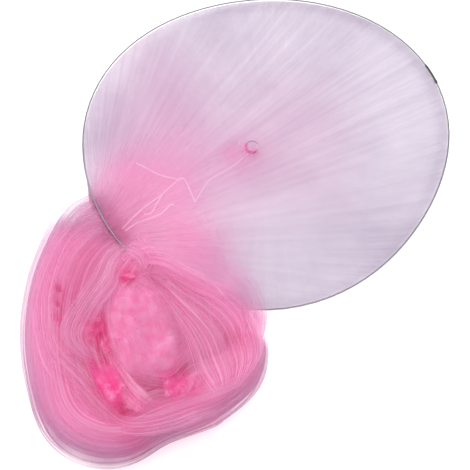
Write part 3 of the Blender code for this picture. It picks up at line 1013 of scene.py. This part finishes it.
# %% The strands that cross over from the throat to the right
CROSSING = [
    (133, 234, 42, 130, 262, 90),
    (145, 242, 50, 137, 284, 112),
    (164, 260, 62, 158, 300, 118),
    (192, 274, 75, 171, 322, 122),
    (224, 283, 82, 179, 344, 122),
    (254, 301, 85, 182, 362, 118),
    (268, 327, 86, 186, 378, 112),
    (267, 353, 86, 198, 392, 108),
    (244, 386, 88, 214, 400, 104),
]
CROSSING_UPPER = [
    (128, 229, 36, 128, 244, 60),
    (142, 230, 40, 142, 256, 72),
    (158, 248, 50, 160, 274, 90),
    (182, 264, 60, 190, 290, 105),
    (212, 274, 70, 220, 306, 110),
    (240, 292, 80, 240, 330, 108),
    (255, 318, 86, 238, 360, 106),
]
band("skirt_crossing", CROSSING, 260, 120, 0.006, LOOSE, 33, 0.95, 0.36)
band("skirt_crossing_upper", CROSSING_UPPER, 120, 100, 0.004, LOOSE, 37, 0.9, 0.35)

# %% Two deep hollows beside the puff, sheets of deep pink that paint their shade, and the lump at the throat
PIT_SHADE_WEDGE = [
    (85, 364, 112, 96, 357, 112),
    (93, 380, 112, 113, 366, 112),
    (102, 394, 112, 121, 380, 112),
    (111, 407, 110, 125, 396, 110),
    (117, 415, 108, 127, 410, 108),
]
PIT_SHADE_RIGHT = [
    (157, 372, 117, 172, 366, 117),
    (162, 381, 117, 187, 375, 117),
    (167, 390, 116, 186, 386, 116),
    (172, 402, 114, 181, 399, 114),
]
LUMP = [
    (122, 241, 70, 120, 258, 110),
    (136, 242, 85, 127, 258, 116),
    (150, 252, 95, 134, 262, 118),
    (154, 265, 100, 137, 268, 118),
    (146, 277, 108, 136, 275, 114),
]
band("skirt_pit_shade_wedge", PIT_SHADE_WEDGE, 40, 50, -0.002, SOFT, 40, 1.0, 0.85, deep=1.0, net=plain_tulle)
band("skirt_pit_shade_right", PIT_SHADE_RIGHT, 40, 40, -0.002, SOFT, 41, 1.0, 0.70, deep=1.0, net=plain_tulle)
band("skirt_lump", LUMP, 60, 60, 0.005, LOOSE, 38, 0.8, 0.45)

# %% [markdown]
# ## Crumpled places
#
# Between the bands the net is pushed together in no direction at all. Such a place is a small
# sheet whose height is a sum of waves that run every way. Its hollows are painted the deepest pink,
# as shade. Noise in a displace modifier would give round dents, and pushed cloth has sharp ones.

# %% Small crumpled sheets
CRUMPLE_DEPTH = 0.0035
CRUMPLE_POINTS = 48
CRUMPLE_STRETCH = 2.4
CRUMPLE_COVER = 0.5
# across, down, reach, height in millimetres, and how deep a pink the hollows are painted, as shade
CRUMPLES = [
    (92, 328, 17, 104, 0.9),
    (108, 344, 12, 106, 0.8),
    (126, 275, 12, 108, 0.8),
    (173, 388, 14, 112, 1.0),
    (190, 384, 15, 104, 0.7),
    (113, 388, 15, 115, 1.0),
    (134, 404, 14, 98, 0.8),
    (140, 302, 26, 124, 0.3),
    (154, 342, 28, 128, 0.2),
    (126, 330, 20, 128, 0.3),
]


def crumple(name, across, down, reach, height, deep, seed):
    """A small sheet pushed together around a seen place."""
    chance = np.random.default_rng(seed)
    side = np.linspace(-1, 1, CRUMPLE_POINTS)
    right, below = side[None, :], side[:, None]
    rough = 0 * right * below
    for size in (0.9, 1.4, 2.1, 3.0, 4.2):
        way = chance.uniform(0, math.pi)
        wave = math.pi * size * (right * math.cos(way) + below * math.sin(way)) + chance.uniform(0, 6)
        rough = rough + (0.7 - np.abs(np.sin(wave))) / size
    surface = height / 1000 + CRUMPLE_DEPTH * rough
    points = seen(across + reach * right, down + reach * below, surface)
    edge = ease(1.8 * (0.85 - np.hypot(right, below) + 0.2 * rough))
    # painted shade: the low places of the crumple turn to the deep pink
    hollow = np.clip(0.8 - 0.7 * rough, 0.3, 1) * deep
    flat = side * reach / FOCAL * CRUMPLE_STRETCH
    cover = CRUMPLE_COVER * edge
    sheet = make_sheet(
        name, points, flat[None, :], flat[:, None], 1.0, cover, plain_tulle, depth=hollow
    )
    declare()


for place, place_row in enumerate(CRUMPLES):
    crumple(f"skirt_crumple_{place + 1}", *place_row, 50 + place)

# %% [markdown]
# ## Rolled hems
#
# Under the roof the skirt's opening shows as thin light lines: a narrow hem, folded twice, catches
# more light than the net. Each hem is a strip ten millimetres wide, folded in three, with three
# real layers over each other. It lies just under the roof, whose height there isn't known before
# the place is, so three rounds of guess and correction find it.

# %% Hem lines
HEM_FOLD = 0.0026
HEM_STRIP = 0.0100
HEM_BELOW = 0.0005
FIRST_GUESS = 0.014
HEM_GATHER = 0.9
HEM_COVER = 0.38


def hem(name, rows):
    """A folded strip just below the roof, through seen places: across and down."""
    guide = smooth_rows(rows, np.linspace(0, 1, 12 * len(rows)))
    across, down = guide[:, 0], guide[:, 1]
    middle = seen(across, down, FIRST_GUESS)
    for _ in range(3):
        middle = seen(across, down, panel_height(middle[:, 0], middle[:, 1]) - HEM_BELOW)
    ahead = np.gradient(middle[:, :2], axis=0)
    ahead /= np.linalg.norm(ahead, axis=1)[:, None]
    aside = np.stack([-ahead[:, 1], ahead[:, 0], 0 * ahead[:, 0]], -1)
    zigzag = np.array([-0.5, 0.5, -0.45, 0.45]) * HEM_FOLD
    layer = np.array([0.0, 0.0, 0.00025, 0.0005])
    points = middle[:, None] + aside[:, None] * zigzag[None, :, None]
    points[..., 2] -= layer[None, :]
    length = run_length(middle)
    folded = np.arange(4)[None, :] * HEM_STRIP / 3
    strip = make_sheet(
        name, points, folded, length[:, None], HEM_GATHER, HEM_COVER, hem_tulle, creased=True
    )
    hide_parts("skirt")
    size = area_of(strip)
    print(name, "length", round(float(length[-1]), 3), "area", round(size, 5))


# each hem's places, across and down
HEMS = {
    "hem_long": [(122, 229), (141, 210), (161, 195), (178, 180), (184, 179), (189, 188), (195, 202)],
    "hem_short": [(125, 231), (137, 223), (153, 217), (162, 213), (170, 205), (174, 205)],
    "hem_to_ring": [(195, 202), (207, 183), (214, 177), (231, 167), (243, 158)],
    "hem_branch": [(162, 195), (156, 205), (151, 213), (144, 214)],
    "hem_upper": [(136, 163), (148, 169), (160, 175), (177, 179)],
}
for hem_name, hem_places in HEMS.items():
    hem(hem_name, hem_places)

# %% [markdown]
# ## The gathers on the hanging ring
#
# The roof's middle is stitched onto the ring along its lower left. There the net wraps the wire in
# small lumps, and its loose edge stands out in a short frill. Both are grids bent around the
# ring: the wrap is closed around the wire, and the frill is open and pleated.

# %% Where the gathers sit on the ring
RING_RADIUS = 0.0100
RING_TILT = math.radians(15)
RING_HEIGHT = 0.0066
WRAP_FROM = math.radians(150)
WRAP_TO = math.radians(318)
WRAP_LUMPS = 5
WRAP_THICK = 0.0015
LUMP_THICK = 0.0011


def ring_point(way, reach, rise):
    """A point beside the ring: way around it, reach from its middle, rise off its plane."""
    middle_height = panel_height(RING[0], RING[1]) + RING_HEIGHT
    back = reach * np.sin(way)
    x = RING[0] + reach * np.cos(way)
    y = RING[1] + back * math.cos(RING_TILT) - rise * math.sin(RING_TILT)
    z = middle_height + back * math.sin(RING_TILT) + rise * math.cos(RING_TILT)
    return np.stack(np.broadcast_arrays(x, y, z), -1)


WRAP_WAYS = np.linspace(WRAP_FROM, WRAP_TO, 120)[:, None]
WRAP_SHARE = (WRAP_WAYS - WRAP_FROM) / (WRAP_TO - WRAP_FROM)

# %% The wrap around the ring's wire
WRAP_FLAT_ROUND = 0.002
lump = np.abs(np.sin(math.pi * WRAP_LUMPS * WRAP_SHARE))
around = np.linspace(0, 2 * math.pi, 14)[None, :]
thick = WRAP_THICK + LUMP_THICK * lump
wrap = ring_point(WRAP_WAYS, RING_RADIUS + thick * np.cos(around), thick * np.sin(around))
length = RING_RADIUS * (WRAP_TO - WRAP_FROM)
flat_round = around * WRAP_FLAT_ROUND
along = WRAP_SHARE * length
piece = make_sheet("ring_wrap", wrap, flat_round, along, 1.0, 0.6, plain_tulle, depth=0.3)
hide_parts("ring_binding")

# %% The frill beside it
FRILL_PLEATS = 8
FRILL_COVER = 0.42
FRILL_FLAT = (0.06, 0.008)
out = np.linspace(0, 1, 16)[None, :]
pleat = np.sin(2 * math.pi * FRILL_PLEATS * WRAP_SHARE + 0.8 * np.sin(9 * WRAP_SHARE))
stands_out = 0.0062 + 0.0016 * pleat + 0.0040 * (1 - WRAP_SHARE)
reach = RING_RADIUS + 0.0012 + out * stands_out
frill = ring_point(WRAP_WAYS, reach, 0.0004 - 0.0022 * out + 0.0017 * pleat * out)
roof_top = panel_height(frill[..., 0], frill[..., 1]) + 0.0010
frill[..., 2] = np.maximum(frill[..., 2], roof_top)
cover = FRILL_COVER * (1 - 0.7 * out ** 2) * (0.6 + 0.4 * pleat)
# painted shade: deeper pink between the pleats of the frill
hollow = 0.5 - 0.5 * pleat
across = WRAP_SHARE * FRILL_FLAT[0]
along = out * FRILL_FLAT[1]
piece = make_sheet("ring_frill", frill, across, along, 0.9, cover, coil_tulle, depth=hollow)
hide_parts("ring_binding")

# %% [markdown]
# ## Metal and dark plastic
#
# The wire is drawn spring steel: grey, with fine lines along it. The ring is dull nickel. The
# sleeve that joins the wire's ends is dark and satin. Their solids are already right, so each only
# takes a finish: one noise varies its colour and its roughness and raises it a little, as wear does.

# %% Finishes for the hard pieces
def hard_finish(name, base, dark, roughness, metallic, scale):
    made = bpy.data.materials.new(name)
    made.use_nodes = True
    tree = made.node_tree
    shader = tree.nodes["Principled BSDF"]
    fill(shader, {"Metallic": metallic})
    worn = cloud(tree, scale)
    link(tree, blend(tree, base, dark, worn), shader.inputs["Base Color"])
    rough = plus(tree, times(tree, worn, 0.25), roughness)
    link(tree, rough, shader.inputs["Roughness"])
    raise_surface(tree, worn, 0.15, 0.0003, shader)
    return made


def dress(node, finish):
    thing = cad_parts[node]
    thing.data.materials.clear()
    thing.data.materials.append(finish)
    print(node, "wears", finish.name)


# %% Dress the hoop, the ring and the sleeve
steel = hard_finish("spring_steel", (0.30, 0.29, 0.31), (0.16, 0.15, 0.17), 0.30, 0.9, 900)
nickel = hard_finish("dull_nickel", (0.42, 0.38, 0.42), (0.25, 0.22, 0.26), 0.28, 0.95, 1200)
plastic = hard_finish("dark_sleeve_plastic", (0.05, 0.045, 0.055), (0.015, 0.014, 0.017), 0.4, 0.0, 700)
dress("hoop", steel)
dress("hanging_ring", nickel)
dress("hoop_sleeve", plastic)
